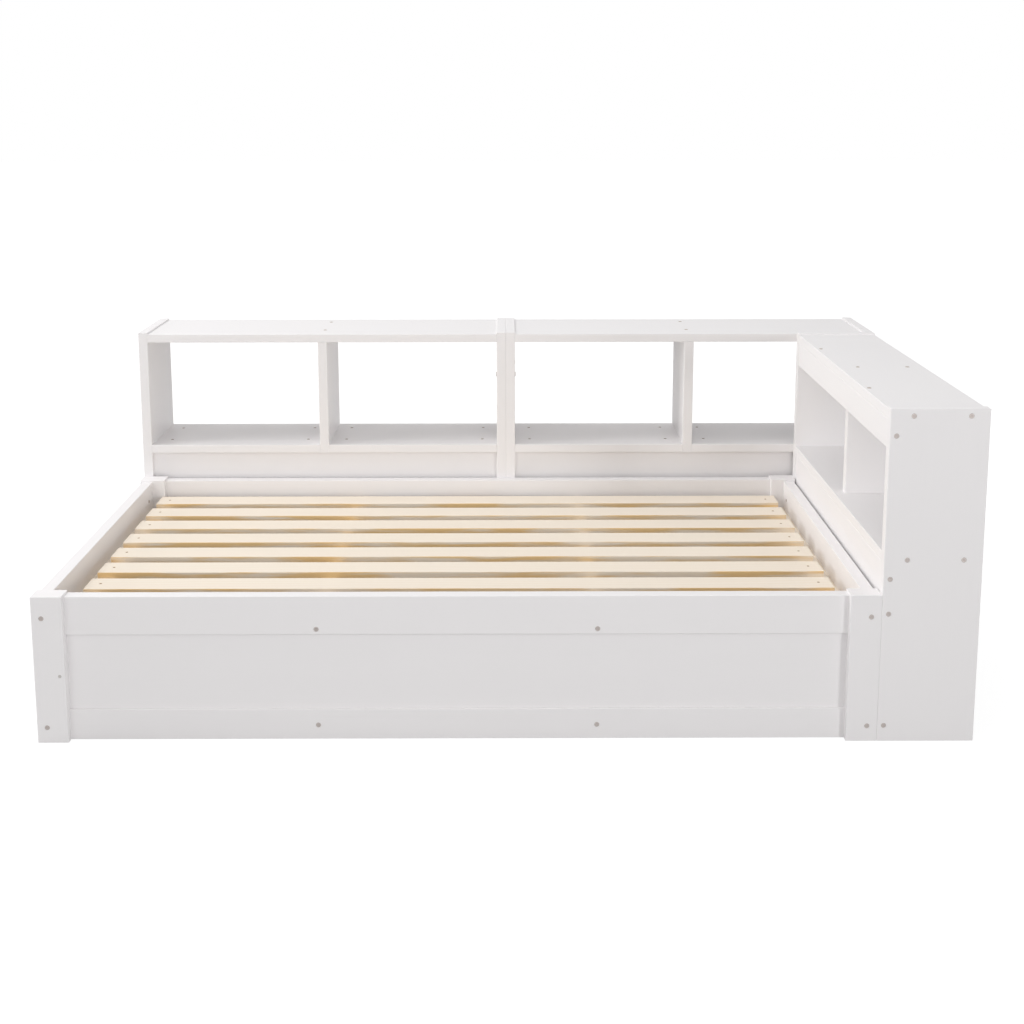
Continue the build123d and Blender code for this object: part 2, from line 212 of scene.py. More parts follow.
def add_node(tree, kind, values=None, **settings):
    """Add a node, set its options, and set its sockets from values or links."""
    node = tree.nodes.new(kind)
    for key, value in settings.items():
        setattr(node, key, value)
    for key, value in (values or {}).items():
        if isinstance(value, bpy.types.NodeSocket):
            tree.links.new(value, node.inputs[key])
        else:
            node.inputs[key].default_value = value
    return node


def maths(tree, operation, first, second=0.0, third=0.0):
    """Add one step of arithmetic and give its result."""
    node = add_node(tree, "ShaderNodeMath", {0: first, 1: second, 2: third}, operation=operation)
    return node.outputs[0]


def combined(tree, x=0.0, y=0.0, z=0.0):
    """Join three numbers into one vector."""
    return add_node(tree, "ShaderNodeCombineXYZ", {0: x, 1: y, 2: z}).outputs[0]


def noise(tree, place, scale, detail):
    """Add a cloudy pattern and give its value."""
    values = {"Vector": place, "Scale": scale, "Detail": detail}
    return add_node(tree, "ShaderNodeTexNoise", values).outputs[0]


def fade(tree, value, start, end, low, high):
    """Change evenly from a low to a high result while a value goes from start to end."""
    return add_node(tree, "ShaderNodeMapRange", {0: value, 1: start, 2: end, 3: low, 4: high}).outputs[0]


def along_grain(tree, x, y, z, along, across):
    """Stretch a place so that a pattern on it runs with the grain."""
    return combined(tree, maths(tree, "MULTIPLY", x, along), maths(tree, "MULTIPLY", y, across),
                    maths(tree, "MULTIPLY", z, across))


def blend_colours(tree, share, first, second):
    """Mix two colours by a share and give the result."""
    node = tree.nodes.new("ShaderNodeMix")
    node.data_type = "RGBA"
    sockets = {"Factor_Float": share, "A_Color": first, "B_Color": second}
    for socket in node.inputs:
        value = sockets.get(socket.identifier)
        if isinstance(value, bpy.types.NodeSocket):
            tree.links.new(value, socket)
        elif value is not None:
            socket.default_value = value
    return next(socket for socket in node.outputs if socket.identifier == "Result_Color")


def paint_group():
    """Brushed paint: a faint cloudy tone, streaks along the board and a soft orange peel."""
    tree, given, result = new_group("Brushed Paint", [
        ("Vector", "NodeSocketVector", None),
        ("Colour", "NodeSocketColor", (0.85, 0.85, 0.85, 1)),
        ("Shade", "NodeSocketColor", (0.8, 0.8, 0.8, 1)),
        ("Stretch", "NodeSocketVector", (1, 1, 1)),
        ("Streak Scale", "NodeSocketFloat", 300.0),
        ("Roughness", "NodeSocketFloat", 0.45),
    ], [("Colour", "NodeSocketColor"), ("Roughness", "NodeSocketFloat"), ("Height", "NodeSocketFloat")])
    stretched = add_node(tree, "ShaderNodeVectorMath",
                         {0: given.outputs["Vector"], 1: given.outputs["Stretch"]}, operation="MULTIPLY")
    streak = noise(tree, stretched.outputs[0], given.outputs["Streak Scale"], 3.0)
    cloud = noise(tree, given.outputs["Vector"], 3.5, 2.0)
    peel = noise(tree, given.outputs["Vector"], 420.0, 1.0)
    cloud_share = maths(tree, "MULTIPLY", cloud, 0.35)
    share = maths(tree, "MULTIPLY_ADD", streak, 0.30, cloud_share)
    tree.links.new(blend_colours(tree, share, given.outputs["Colour"], given.outputs["Shade"]),
                   result.inputs["Colour"])
    rough = maths(tree, "MULTIPLY_ADD", streak, 0.10, given.outputs["Roughness"])
    tree.links.new(maths(tree, "SUBTRACT", rough, 0.05), result.inputs["Roughness"])
    height = maths(tree, "MULTIPLY_ADD", peel, 0.4, streak)
    tree.links.new(height, result.inputs["Height"])
    return tree


def pine_group():
    """Planed pine: straight rings on the flat, and on the faces turned along y amber run-outs that are partly
    edge grain and partly painted shade.
    """
    tree, given, result = new_group("Planed Pine", [
        ("Vector", "NodeSocketVector", None),
        ("Normal", "NodeSocketVector", None),
        ("Early", "NodeSocketColor", (0.85, 0.75, 0.6, 1)),
        ("Late", "NodeSocketColor", (0.7, 0.5, 0.3, 1)),
        ("Edge", "NodeSocketColor", (0.5, 0.3, 0.1, 1)),
        ("Ring Spacing", "NodeSocketFloat", 0.009),
        ("Wander", "NodeSocketFloat", 0.03),
        ("Board Pitch", "NodeSocketFloat", 0.1275),
        ("Board Start", "NodeSocketFloat", 0.0),
        ("Roughness", "NodeSocketFloat", 0.6),
    ], [("Colour", "NodeSocketColor"), ("Roughness", "NodeSocketFloat"), ("Height", "NodeSocketFloat")])
    place = add_node(tree, "ShaderNodeSeparateXYZ", {0: given.outputs["Vector"]})
    x, y, z = place.outputs
    from_start = maths(tree, "SUBTRACT", y, given.outputs["Board Start"])
    board = maths(tree, "FLOOR", maths(tree, "DIVIDE", from_start, given.outputs["Board Pitch"]))
    seed = add_node(tree, "ShaderNodeTexWhiteNoise", {"W": board}, noise_dimensions="1D")
    seeds = add_node(tree, "ShaderNodeSeparateColor", {0: seed.outputs["Color"]})
    shifted_x = maths(tree, "MULTIPLY_ADD", seeds.outputs[0], 7.0, x)
    drift = noise(tree, combined(tree, maths(tree, "MULTIPLY", shifted_x, 0.9), board), 1.6, 1.5)
    wander = maths(tree, "MULTIPLY", maths(tree, "SUBTRACT", drift, 0.5), given.outputs["Wander"])
    fine = noise(tree, along_grain(tree, shifted_x, y, z, along=3.0, across=30.0), 1.0, 2.0)
    ring_y = maths(tree, "ADD", maths(tree, "MULTIPLY_ADD", wander, 1.6, from_start),
                   maths(tree, "MULTIPLY", seeds.outputs[1], 0.05))
    ring_z = maths(tree, "ADD", z, maths(tree, "MULTIPLY_ADD", seeds.outputs[2], 0.06, 0.02))
    away = add_node(tree, "ShaderNodeVectorMath", {0: combined(tree, 0.0, ring_y, ring_z)}, operation="LENGTH")
    rings = maths(tree, "DIVIDE", away.outputs["Value"], given.outputs["Ring Spacing"])
    rings = maths(tree, "MULTIPLY_ADD", fine, 0.8, rings)
    ring = maths(tree, "POWER", maths(tree, "FRACT", rings), 2.5)
    streak = noise(tree, along_grain(tree, shifted_x, y, z, along=8.0, across=500.0), 1.0, 3.0)
    top_share = maths(tree, "MULTIPLY_ADD", ring, 0.26, maths(tree, "MULTIPLY", streak, 0.16))
    top_colour = blend_colours(tree, top_share, given.outputs["Early"], given.outputs["Late"])
    slant = maths(tree, "MULTIPLY_ADD", wander, 20.0, maths(tree, "MULTIPLY", z, 60.0))
    runout_place = combined(tree, maths(tree, "MULTIPLY", shifted_x, 5.0),
                            maths(tree, "MULTIPLY", board, 3.7), slant)
    runout = noise(tree, runout_place, 1.0, 2.0)
    band = fade(tree, runout, start=0.42, end=0.60, low=0.06, high=0.85)
    edge_grain_and_shade_colour = blend_colours(tree, band, top_colour, given.outputs["Edge"])
    # Painted shade: every face turned along y takes the darker amber edge colour. This is partly real edge
    # grain and partly shade painted into the colour.
    normal = add_node(tree, "ShaderNodeSeparateXYZ", {0: given.outputs["Normal"]})
    grain_and_shade_face_share = maths(tree, "ABSOLUTE", normal.outputs[1])
    grain_and_shade_face_share = maths(tree, "GREATER_THAN", grain_and_shade_face_share, 0.6)
    tree.links.new(blend_colours(tree, grain_and_shade_face_share, top_colour, edge_grain_and_shade_colour), result.inputs["Colour"])
    rough = maths(tree, "MULTIPLY_ADD", ring, -0.08, given.outputs["Roughness"])
    tree.links.new(rough, result.inputs["Roughness"])
    tree.links.new(maths(tree, "MULTIPLY_ADD", ring, 0.6, streak), result.inputs["Height"])
    return tree


def metal_group():
    """Dulled metal: a mottled tone and fine turning marks."""
    tree, given, result = new_group("Dulled Metal", [
        ("Vector", "NodeSocketVector", None),
        ("Colour", "NodeSocketColor", (0.5, 0.5, 0.5, 1)),
        ("Mottle Scale", "NodeSocketFloat", 900.0),
        ("Roughness", "NodeSocketFloat", 0.45),
    ], [("Colour", "NodeSocketColor"), ("Roughness", "NodeSocketFloat"), ("Height", "NodeSocketFloat")])
    mottle = noise(tree, given.outputs["Vector"], given.outputs["Mottle Scale"], 3.0)
    dark = add_node(tree, "ShaderNodeVectorMath", {0: given.outputs["Colour"], 1: (0.62, 0.60, 0.58)},
                    operation="MULTIPLY")
    tree.links.new(blend_colours(tree, mottle, given.outputs["Colour"], dark.outputs[0]),
                   result.inputs["Colour"])
    tree.links.new(maths(tree, "MULTIPLY_ADD", mottle, 0.2, given.outputs["Roughness"]),
                   result.inputs["Roughness"])
    tree.links.new(mottle, result.inputs["Height"])
    return tree


def group_named(name, build):
    """Give a shader group, building it the first time."""
    return bpy.data.node_groups.get(name) or build()


def new_material(name, group, values, bump, bump_distance, metallic=0.0, specular=0.5, turn=None):
    """Make a material whose surface comes from a shared group, its pattern turned if asked."""
    material = bpy.data.materials.new(name)
    material.use_nodes = True
    tree = material.node_tree
    surface = tree.nodes["Principled BSDF"]
    surface.inputs["Metallic"].default_value = metallic
    surface.inputs["Specular IOR Level"].default_value = specular
    where = tree.nodes.new("ShaderNodeTexCoord")
    node = tree.nodes.new("ShaderNodeGroup")
    node.node_tree = group
    for output, label in (("Object", "Vector"), ("Normal", "Normal")):
        if label not in node.inputs:
            continue
        source = where.outputs[output]
        if turn is not None:
            turned = add_node(tree, "ShaderNodeMapping", {"Vector": source, "Rotation": turn},
                              vector_type="VECTOR")
            source = turned.outputs["Vector"]
        tree.links.new(source, node.inputs[label])
    for key, value in values.items():
        node.inputs[key].default_value = value
    tree.links.new(node.outputs["Colour"], surface.inputs["Base Color"])
    tree.links.new(node.outputs["Roughness"], surface.inputs["Roughness"])
    relief = add_node(tree, "ShaderNodeBump", {"Strength": bump, "Distance": bump_distance,
                                               "Height": node.outputs["Height"]})
    tree.links.new(relief.outputs["Normal"], surface.inputs["Normal"])
    return material


def opaque(colour):
    return (*colour, 1.0)


def paint_material(axis):
    """White paint with its streaks along one axis."""
    settings = bpy.context.scene.daybed_paint
    stretch = [1.0, 1.0, 1.0]
    stretch[axis] = 1 / settings.streak_stretch
    return new_material(f"white_paint_along_{'xyz'[axis]}", group_named("Brushed Paint", paint_group), {
        "Colour": opaque(settings.colour), "Shade": opaque(settings.shade), "Stretch": stretch,
        "Streak Scale": 1 / settings.streak_width, "Roughness": settings.roughness,
    }, bump=0.10, bump_distance=0.05 * MM)


def pine_material(name, darker=1.0, turn=None):
    """Pine with its grain along x, or turned, and its own seed for each slat."""
    settings = bpy.context.scene.daybed_pine
    low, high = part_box("slat_1")
    next_low, next_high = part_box("slat_2")
    pitch = next_low.y - low.y
    woods = (settings.early_wood, settings.late_wood, settings.edge_grain_and_painted_shade)
    tones = [opaque(Vector(wood) * darker) for wood in woods]
    return new_material(name, group_named("Planed Pine", pine_group), {
        "Early": tones[0], "Late": tones[1], "Edge": tones[2],
        "Ring Spacing": settings.ring_spacing, "Wander": settings.wander,
        "Board Pitch": pitch, "Board Start": (low.y + high.y - pitch) / 2,
        "Roughness": settings.roughness,
    }, bump=0.3, bump_distance=0.05 * MM, turn=turn)


def metal_material(name, colour, roughness, metallic=0.75):
    """Dull plated metal."""
    return new_material(name, group_named("Dulled Metal", metal_group), {
        "Colour": opaque(colour), "Roughness": roughness,
    }, bump=0.15, bump_distance=0.02 * MM, metallic=metallic)


def finish_with(node_name, material):
    """Give a CAD node one material."""
    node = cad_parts[node_name]
    if not node.material_slots:
        node.data.materials.append(material)
    for place in node.material_slots:
        place.material = material


def long_axis(low, high):
    """Give the number of the axis along which a box is longest."""
    size = high - low
    return max(range(3), key=lambda axis: size[axis])


def solids_of(node_name):
    """List the separate solids of a CAD node, each as its own list of corner points."""
    shape = bmesh.new()
    shape.from_mesh(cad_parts[node_name].data)
    bmesh.ops.remove_doubles(shape, verts=shape.verts, dist=0.001 * MM)
    waiting = set(shape.verts)
    found = []
    while waiting:
        edge_of_growth = [waiting.pop()]
        points = []
        while edge_of_growth:
            vertex = edge_of_growth.pop()
            points.append(vertex.co.copy())
            for edge in vertex.link_edges:
                other = edge.other_vert(vertex)
                if other in waiting:
                    waiting.remove(other)
                    edge_of_growth.append(other)
        found.append(points)
    shape.free()
    return found


def corners(points):
    """Give the lowest and highest corner of some points."""
    low = Vector([min(point[axis] for point in points) for axis in range(3)])
    high = Vector([max(point[axis] for point in points) for axis in range(3)])
    return low, high


def headed_solids(node_name):
    """Find each bolt or screw: its head's outer centre, outward direction, length and widths."""
    found = []
    for points in solids_of(node_name):
        low, high = corners(points)
        axis = long_axis(low, high)
        centre = (low + high) / 2
        across = [other for other in range(3) if other != axis]

        def radius(point):
            return math.hypot(*(point[other] - centre[other] for other in across))

        wide = [point for point in points if radius(point) > 0.45 * (high - low)[across[0]]]
        head_side = 1 if sum(point[axis] for point in wide) / len(wide) > centre[axis] else -1
        outward = Vector((0, 0, 0))
        outward[axis] = head_side
        top = centre.copy()
        top[axis] = high[axis] if head_side > 0 else low[axis]
        thickness = max(abs(point[axis] - top[axis]) for point in wide)
        shank = max(radius(point) for point in points if abs(point[axis] - top[axis]) > thickness + 0.1 * MM)
        found.append({"top": top, "outward": outward, "length": (high - low)[axis], "thickness": thickness,
                      "head_radius": (high - low)[across[0]] / 2, "shank_radius": shank})
    return found


def nut_solids(node_name):
    """Find each barrel nut: the centre of its outer end, its outward direction, length and radius."""
    found = []
    for points in solids_of(node_name):
        low, high = corners(points)
        axis = long_axis(low, high)
        centre = (low + high) / 2
        inner = [point[axis] for point in points if low[axis] + 0.1 * MM < point[axis] < high[axis] - 0.1 * MM]
        hole = (min(inner) + max(inner)) / 2
        side = 1 if hole < centre[axis] else -1
        outward = Vector((0, 0, 0))
        outward[axis] = side
        top = centre.copy()
        top[axis] = high[axis] if side > 0 else low[axis]
        found.append({"top": top, "outward": outward, "length": (high - low)[axis],
                      "radius": (high - low)[(axis + 1) % 3] / 2, "hole_depth": abs(top[axis] - hole),
                      "hole_radius": (max(inner) - min(inner)) / 2})
    return found


def new_shape_tree(name, inputs):
    """Start a geometry node tree that turns points into a mesh."""
    tree = bpy.data.node_groups.new(name, "GeometryNodeTree")
    tree.interface.new_socket(name="Geometry", in_out="INPUT", socket_type="NodeSocketGeometry")
    for label, kind in inputs:
        tree.interface.new_socket(name=label, in_out="INPUT", socket_type=kind)
    tree.interface.new_socket(name="Geometry", in_out="OUTPUT", socket_type="NodeSocketGeometry")
    return tree, tree.nodes.new("NodeGroupInput"), tree.nodes.new("NodeGroupOutput")


def moved(tree, geometry, up):
    """Move a shape along its own axis."""
    values = {"Geometry": geometry, "Translation": combined(tree, z=up)}
    return add_node(tree, "GeometryNodeTransform", values).outputs[0]


def drum(tree, radius, depth, sides, up):
    """Make a round bar about the axis, its middle at a height."""
    bar = add_node(tree, "GeometryNodeMeshCylinder", {"Vertices": sides, "Radius": radius, "Depth": depth})
    return moved(tree, bar.outputs["Mesh"], up)


def combine(tree, operation, first, others):
    """Add shapes to a shape, or cut them out of it."""
    node = tree.nodes.new("GeometryNodeMeshBoolean")
    node.operation = operation
    node.solver = "EXACT"
    if operation == "DIFFERENCE":
        tree.links.new(first, node.inputs["Mesh 1"])
        shapes = others
    else:
        shapes = [first, *others]
    for shape in shapes:
        tree.links.new(shape, node.inputs["Mesh 2"])
    return node.outputs["Mesh"]


def bar_cut(tree, length, width, depth, turn):
    """Make one straight arm of a cross or slot, sunk to a depth from the top."""
    size = combined(tree, length, width, maths(tree, "MULTIPLY", depth, 2.0))
    cube = add_node(tree, "GeometryNodeMeshCube", {"Size": size})
    return add_node(tree, "GeometryNodeTransform",
                    {"Geometry": cube.outputs["Mesh"], "Rotation": (0.0, 0.0, turn)}).outputs[0]


def chamfered_drum(tree, radius, depth, chamfer, sides):
    """Make a round head whose outer face is at height zero, with a bevelled rim."""
    straight = maths(tree, "SUBTRACT", depth, chamfer)
    body = drum(tree, radius, straight, sides, maths(tree, "MULTIPLY_ADD", straight, -0.5,
                                                    maths(tree, "MULTIPLY", chamfer, -1.0)))
    rim = add_node(tree, "GeometryNodeMeshCone", {"Vertices": sides, "Radius Bottom": radius,
                                                  "Radius Top": maths(tree, "SUBTRACT", radius, chamfer),
                                                  "Depth": chamfer})
    rim_below = maths(tree, "MULTIPLY", chamfer, -1.0)
    return combine(tree, "UNION", body, [moved(tree, rim.outputs["Mesh"], rim_below)])


def attribute(tree, name, kind):
    """Read a named attribute from the points."""
    node = add_node(tree, "GeometryNodeInputNamedAttribute", {"Name": name}, data_type=kind)
    return node.outputs["Attribute"]


def place_on_points(tree, given, result, head, shank_unit):
    """Stand the head and the shank on every point, then make real meshes with the material."""
    outward = attribute(tree, "outward", "FLOAT_VECTOR")
    turned = add_node(tree, "FunctionNodeAlignRotationToVector", {"Vector": outward}, axis="Z")
    wide = attribute(tree, "head_scale", "FLOAT")
    parts = [(head, combined(tree, wide, wide, 1.0))]
    if shank_unit is not None:
        parts.append((shank_unit, combined(tree, 1.0, 1.0, attribute(tree, "shank", "FLOAT"))))
    join = tree.nodes.new("GeometryNodeJoinGeometry")
    for shape, scale in parts:
        values = {"Points": given.outputs["Geometry"], "Instance": shape, "Rotation": turned.outputs[0],
                  "Scale": scale}
        tree.links.new(add_node(tree, "GeometryNodeInstanceOnPoints", values).outputs[0], join.inputs[0])
    real = add_node(tree, "GeometryNodeRealizeInstances", {"Geometry": join.outputs[0]})
    coloured = add_node(tree, "GeometryNodeSetMaterial",
                        {"Geometry": real.outputs[0], "Material": given.outputs["Material"]})
    tree.links.new(coloured.outputs[0], result.inputs["Geometry"])


def headed_tree(name, recess):
    """Bolts or screws on points: a bevelled head with a recess, and a shank of each point's length."""
    tree, given, result = new_shape_tree(name, [
        ("Head Radius", "NodeSocketFloat"), ("Head Thickness", "NodeSocketFloat"),
        ("Shank Radius", "NodeSocketFloat"), ("Chamfer", "NodeSocketFloat"),
        ("Recess Width", "NodeSocketFloat"), ("Recess Depth", "NodeSocketFloat"),
        ("Sides", "NodeSocketInt"), ("Material", "NodeSocketMaterial"),
    ])
    read = given.outputs
    head = chamfered_drum(tree, read["Head Radius"], read["Head Thickness"], read["Chamfer"], read["Sides"])
    if recess == "hexagon":
        circle = maths(tree, "DIVIDE", read["Recess Width"], math.sqrt(3))
        cuts = [drum(tree, circle, maths(tree, "MULTIPLY", read["Recess Depth"], 2.0), 6, 0.0)]
    else:
        arm = maths(tree, "MULTIPLY", read["Head Radius"], 1.1)
        cuts = [bar_cut(tree, arm, read["Recess Width"], read["Recess Depth"], turn)
                for turn in (0.0, math.pi / 2)]
    head = combine(tree, "DIFFERENCE", head, cuts)
    shank = drum(tree, read["Shank Radius"], 1.0, 16, -0.5)
    place_on_points(tree, given, result, head, shank)
    return tree


def nut_tree(name):
    """Barrel nuts on points: a bevelled drum with a slotted end and a cross hole."""
    tree, given, result = new_shape_tree(name, [
        ("Radius", "NodeSocketFloat"), ("Length", "NodeSocketFloat"),
        ("Hole Radius", "NodeSocketFloat"), ("Hole Depth", "NodeSocketFloat"),
        ("Chamfer", "NodeSocketFloat"), ("Slot Width", "NodeSocketFloat"), ("Slot Depth", "NodeSocketFloat"),
        ("Sides", "NodeSocketInt"), ("Material", "NodeSocketMaterial"),
    ])
    read = given.outputs
    body = chamfered_drum(tree, read["Radius"], read["Length"], read["Chamfer"], read["Sides"])
    across = maths(tree, "MULTIPLY", read["Radius"], 3.0)
    slot = bar_cut(tree, across, read["Slot Width"], read["Slot Depth"], 0.0)
    hole = add_node(tree, "GeometryNodeMeshCylinder",
                    {"Vertices": 16, "Radius": read["Hole Radius"], "Depth": across})
    drop = combined(tree, z=maths(tree, "MULTIPLY", read["Hole Depth"], -1.0))
    hole = add_node(tree, "GeometryNodeTransform", {
        "Geometry": hole.outputs["Mesh"], "Translation": drop, "Rotation": (0.0, math.pi / 2, 0.0)})
    body = combine(tree, "DIFFERENCE", body, [slot, hole.outputs[0]])
    place_on_points(tree, given, result, body, None)
    return tree


def points_object(name, places, attributes):
    """Make an object of loose points with named attributes."""
    mesh = bpy.data.meshes.new(name)
    mesh.from_pydata([place["top"] for place in places], [], [])
    outward = mesh.attributes.new("outward", "FLOAT_VECTOR", "POINT")
    outward.data.foreach_set("vector", [value for place in places for value in place["outward"]])
    for label, read in attributes.items():
        values = mesh.attributes.new(label, "FLOAT", "POINT")
        values.data.foreach_set("value", [read(place) for place in places])
    piece = bpy.data.objects.new(name, mesh)
    bpy.context.scene.collection.objects.link(piece)
    return piece


def grow_from_points(piece, tree, values):
    """Run a geometry node tree on a piece and keep its result as a plain mesh."""
    modifier = piece.modifiers.new("Grow", "NODES")
    modifier.node_group = tree
    for item in tree.interface.items_tree:
        if item.in_out == "INPUT" and item.name in values:
            modifier[item.identifier] = values[item.name]
    bpy.context.view_layer.update()
    evaluated = piece.evaluated_get(bpy.context.evaluated_depsgraph_get())
    mesh = bpy.data.meshes.new_from_object(evaluated)
    piece.modifiers.remove(modifier)
    piece.data = mesh
    if not mesh.polygons:
        raise RuntimeError(f"{piece.name} came out empty")
    return piece


def hand_over(piece, slot, *nodes):
    """Put a finished piece on the daybed's body in place of its CAD nodes."""
    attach(piece, "root")
    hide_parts(*nodes)


class DAYBED_OT_paint(bpy.types.Operator):
    """Paint the frame and the bookcases white."""

    bl_idname = "daybed.paint"
    bl_label = "Paint the boards"

    def execute(self, context):
        materials = [paint_material(axis) for axis in range(3)]
        bare = set(PINE_NODES + SLAT_NODES + FASTENER_NODES)
        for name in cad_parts:
            if name not in bare:
                finish_with(name, materials[long_axis(*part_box(name))])
        return {"FINISHED"}


class DAYBED_OT_slats(bpy.types.Operator):
    """Give the slats their planed pine."""

    bl_idname = "daybed.slats"
    bl_label = "Finish the slats"

    def execute(self, context):
        material = pine_material("slat_pine")
        for name in SLAT_NODES:
            finish_with(name, material)
        return {"FINISHED"}


class DAYBED_OT_cross_supports(bpy.types.Operator):
    """Give the beams, legs and ledgers under the slats their bare pine."""

    bl_idname = "daybed.cross_supports"
    bl_label = "Finish the cross supports"

    def execute(self, context):
        lengthways = pine_material("frame_pine_along_y", darker=0.94, turn=(0.0, 0.0, -math.pi / 2))
        upright = pine_material("frame_pine_along_z", darker=0.94, turn=(0.0, math.pi / 2, 0.0))
        for name in PINE_NODES:
            finish_with(name, upright if name == "beam_legs" else lengthways)
        return {"FINISHED"}


class DAYBED_OT_bolts(bpy.types.Operator):
    """Make the flat-headed bolts with their hexagon sockets."""

    bl_idname = "daybed.bolts"
    bl_label = "Make the bolts"

    def execute(self, context):
        settings = context.scene.daybed_fasteners
        bolts = headed_solids("flat_head_bolts")
        piece = points_object("bolts", bolts, {"shank": lambda bolt: bolt["length"],
                                               "head_scale": lambda bolt: 1.0})
        grow_from_points(piece, headed_tree("Socket Bolts", "hexagon"), {
            "Head Radius": bolts[0]["head_radius"], "Head Thickness": bolts[0]["thickness"],
            "Shank Radius": bolts[0]["shank_radius"], "Chamfer": settings.chamfer,
            "Recess Width": settings.socket_width, "Recess Depth": settings.recess_depth,
            "Sides": settings.sides, "Material": metal_material("bolt_zinc", settings.zinc, 0.42),
        })
        hand_over(piece, "zinc_steel", "flat_head_bolts")
        return {"FINISHED"}


class DAYBED_OT_screws(bpy.types.Operator):
    """Make the wood screws with their cross recesses."""

    bl_idname = "daybed.screws"
    bl_label = "Make the wood screws"

    def execute(self, context):
        settings = context.scene.daybed_fasteners
        screws = headed_solids("wood_screws")
        small = min(screw["head_radius"] for screw in screws)
        piece = points_object("screws", screws, {
            "shank": lambda screw: screw["length"],
            "head_scale": lambda screw: screw["head_radius"] / small,
        })
        grow_from_points(piece, headed_tree("Cross Screws", "cross"), {
            "Head Radius": small, "Head Thickness": screws[0]["thickness"],
            "Shank Radius": screws[0]["shank_radius"], "Chamfer": settings.chamfer,
            "Recess Width": settings.blade_width, "Recess Depth": settings.recess_depth,
            "Sides": settings.sides,
            "Material": metal_material("screw_bronze", settings.screw_bronze, 0.5, metallic=0.3),
        })
        hand_over(piece, "zinc_steel", "wood_screws")
        return {"FINISHED"}


class DAYBED_OT_nuts(bpy.types.Operator):
    """Make the barrel nuts whose ends show in the shelves."""

    bl_idname = "daybed.nuts"
    bl_label = "Make the barrel nuts"

    def execute(self, context):
        settings = context.scene.daybed_fasteners
        nuts = nut_solids("barrel_nuts")
        for nut in nuts:
            nut["top"] += nut["outward"] * settings.nut_lift
        piece = points_object("barrels", nuts, {"head_scale": lambda nut: 1.0})
        grow_from_points(piece, nut_tree("Barrel Nuts"), {
            "Radius": nuts[0]["radius"], "Length": nuts[0]["length"],
            "Hole Radius": nuts[0]["hole_radius"], "Hole Depth": nuts[0]["hole_depth"],
            "Chamfer": settings.chamfer, "Slot Width": settings.blade_width * 1.5,
            "Slot Depth": settings.recess_depth, "Sides": settings.sides,
            "Material": metal_material("nut_brass", settings.brass, 0.6, metallic=0.3),
        })
        hand_over(piece, "brass", "barrel_nuts")
        return {"FINISHED"}


class DAYBED_OT_connectors(bpy.types.Operator):
    """Finish the sleeve connectors and studs."""

    bl_idname = "daybed.connectors"
    bl_label = "Finish the connectors"

    def execute(self, context):
        settings = context.scene.daybed_fasteners
        finish_with("case_connectors", metal_material("connector_zinc", settings.zinc, 0.4))
        return {"FINISHED"}


class DAYBED_OT_plug(bpy.types.Operator):
    """Make the small domed plug in the left front post."""

    bl_idname = "daybed.plug"
    bl_label = "Make the plug"

    def execute(self, context):
        settings = context.scene.daybed_fasteners
        low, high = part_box("post_plug")
        radius = (high.x - low.x) / 2
        depth = high.y - low.y
        rings = 6
        profile = [(radius * math.cos(step / rings * math.pi / 2),
                    settings.plug_dome * math.sin(step / rings * math.pi / 2)) for step in range(rings + 1)]
        sides = settings.sides
        points = [(0.0, depth, 0.0)]
        points += [(radius * math.cos(turn), depth, radius * math.sin(turn))
                   for turn in (2 * math.pi * side / sides for side in range(sides))]
        for width, rise in profile[:-1]:
            points += [(width * math.cos(turn), settings.plug_dome - rise, width * math.sin(turn))
                       for turn in (2 * math.pi * side / sides for side in range(sides))]
        points.append((0.0, 0.0, 0.0))
        faces = [(0, 1 + side, 1 + (side + 1) % sides) for side in range(sides)]
        for ring in range(rings):
            start = 1 + ring * sides
            faces += [(start + side, start + sides + side, start + sides + (side + 1) % sides,
                       start + (side + 1) % sides) for side in range(sides)]
        start = 1 + rings * sides
        faces += [(start + side, len(points) - 1, start + (side + 1) % sides) for side in range(sides)]
        mesh = bpy.data.meshes.new("plug")
        mesh.from_pydata(points, [], faces)
        mesh.transform(Matrix.Translation(((low.x + high.x) / 2, low.y, (low.z + high.z) / 2)))
        mesh.shade_smooth()
        shape = bmesh.new()
        shape.from_mesh(mesh)
        bmesh.ops.recalc_face_normals(shape, faces=shape.faces)
        shape.to_mesh(mesh)
        shape.free()
        piece = bpy.data.objects.new("plug", mesh)
        context.scene.collection.objects.link(piece)
        mesh.materials.append(plug_material())
        hand_over(piece, "plug_plastic", "post_plug")
        return {"FINISHED"}


def plug_material():
    """The plug's light grey plastic."""
    return new_material("plug_grey", group_named("Brushed Paint", paint_group), {
        "Colour": (0.60, 0.57, 0.55, 1), "Shade": (0.52, 0.49, 0.47, 1),
        "Streak Scale": 800.0, "Roughness": 0.5,
    }, bump=0.2, bump_distance=0.02 * MM)


def lamp(name, place, aim, size, power):
    """Hang a square lamp that faces a point and isn't seen itself."""
    light = bpy.data.lights.new(name, "AREA")
    light.shape = "SQUARE"
    light.size = size
    light.energy = power
    holder = bpy.data.objects.new(name, light)
    holder.location = place
    holder.rotation_mode = "QUATERNION"
    holder.rotation_quaternion = (Vector(aim) - Vector(place)).to_track_quat("-Z", "Y")
    holder.visible_camera = False
    bpy.context.scene.collection.objects.link(holder)
    return holder


def seen_directly(tree):
    """Give one where a ray comes from the camera, a mirror or glass, and zero elsewhere."""
    path = tree.nodes.new("ShaderNodeLightPath")
    share = maths(tree, "MAXIMUM", path.outputs["Is Camera Ray"], path.outputs["Is Glossy Ray"])
    return maths(tree, "MAXIMUM", share, path.outputs["Is Transmission Ray"])


